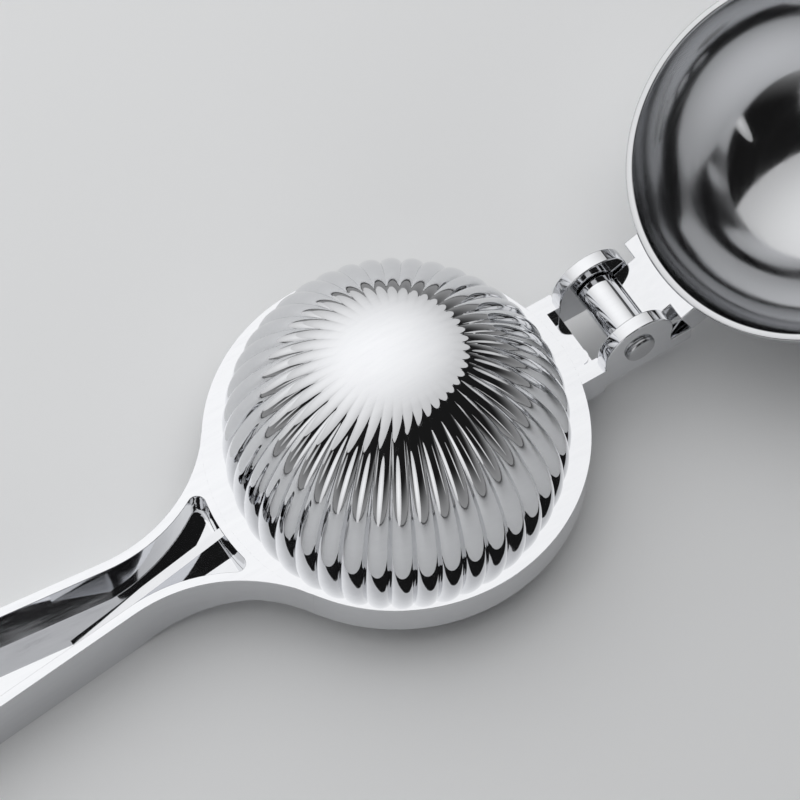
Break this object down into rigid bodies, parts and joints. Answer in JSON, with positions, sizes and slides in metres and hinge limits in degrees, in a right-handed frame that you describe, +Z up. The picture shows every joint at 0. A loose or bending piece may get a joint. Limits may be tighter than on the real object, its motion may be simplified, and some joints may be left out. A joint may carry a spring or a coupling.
{
  "type": "hinged lemon squeezer",
  "caption": "Open hand squeezer: a fluted dome on one lever arm and a strainer bowl on the other, joined by a pinned hinge, with channel handles.",
  "frame": {"origin": "on the table, under the middle of the open squeezer's overall box", "axes": "+X from the press arm's handle towards the bowl arm's handle, +Y along the hinge pin, +Z up"},
  "size_m": [0.4044, 0.077, 0.1052],
  "materials": {
    "polished_plate": "mirror-polished chrome plate on a zinc die-casting",
    "pin_steel": "turned steel"
  },
  "bodies": {
    "press_arm": {"press_dome": "polished_plate", "press_flange": "polished_plate", "press_hinge_block": "polished_plate", "press_ear_left": "polished_plate", "press_ear_right": "polished_plate", "press_handle": "polished_plate", "press_handle_rib": "polished_plate", "hinge_pin": "pin_steel"},
    "bowl_arm": {"bowl_shell": "polished_plate", "bowl_hinge_block": "polished_plate", "bowl_hinge_barrel": "polished_plate", "bowl_handle": "polished_plate", "bowl_handle_rib": "polished_plate"}
  },
  "joints": [
    {"name": "hinge", "type": "hinge", "parent": "press_arm", "child": "bowl_arm", "pos_m": [0.00822, 0, 0.01619], "axis": [0, -1, 0], "range_deg": [0, 154.7]}
  ]
}
